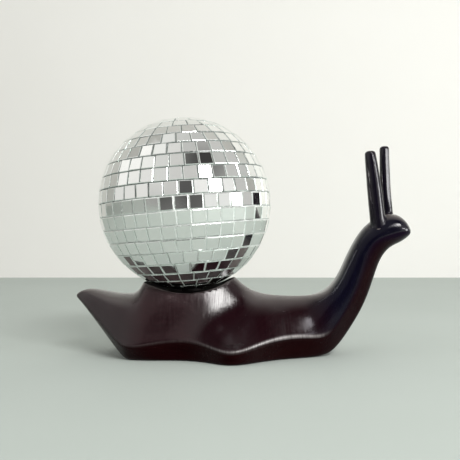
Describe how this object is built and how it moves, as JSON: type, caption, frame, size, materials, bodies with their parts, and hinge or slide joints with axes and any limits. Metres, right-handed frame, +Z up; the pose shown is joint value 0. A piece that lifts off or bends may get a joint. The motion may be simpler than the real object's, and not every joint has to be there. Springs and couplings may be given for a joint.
{
  "type": "snail ornament with mirror ball shell",
  "caption": "Carved, lacquered wooden snail on a flat foot, with raised neck and tentacles; a mirror-tiled ball stands as its shell in a hollow seat and turns on a hidden peg.",
  "frame": {"origin": "on the flat sole, straight below the centre of the mirror ball", "axes": "+X along the body towards the head, +Y to the snail's left, +Z up"},
  "size_m": [0.1284, 0.0659, 0.0906],
  "materials": {
    "lacquered_wood": "dark brown gloss lacquer with oxblood red in the low edges",
    "mirror_tile": "silvered glass mosaic with pale cut edges",
    "core_plastic": "pale moulded plastic",
    "peg_wood": "turned dowel, stained dark"
  },
  "bodies": {
    "snail": {"snail_body": "lacquered_wood", "left_tentacle": "lacquered_wood", "right_tentacle": "lacquered_wood", "ball_peg": "peg_wood"},
    "ball": {"ball_shell_lower": "core_plastic", "ball_shell_upper": "core_plastic", "top_mirror_tile": "mirror_tile", "mirror_row_01": "mirror_tile", "mirror_row_02": "mirror_tile", "mirror_row_03": "mirror_tile", "mirror_row_04": "mirror_tile", "mirror_row_05": "mirror_tile", "mirror_row_06": "mirror_tile", "mirror_row_07": "mirror_tile", "mirror_row_08": "mirror_tile", "mirror_row_09": "mirror_tile", "mirror_row_10": "mirror_tile", "mirror_row_11": "mirror_tile", "mirror_row_12": "mirror_tile", "mirror_row_13": "mirror_tile", "mirror_row_14": "mirror_tile", "mirror_row_15": "mirror_tile", "mirror_row_16": "mirror_tile", "mirror_row_17": "mirror_tile", "mirror_row_18": "mirror_tile"}
  },
  "joints": [
    {"name": "ball_turn", "type": "hinge", "parent": "snail", "child": "ball", "pos_m": [0, 0, 0.0576], "axis": [-0.0767, 0, 0.9971], "continuous": true}
  ]
}
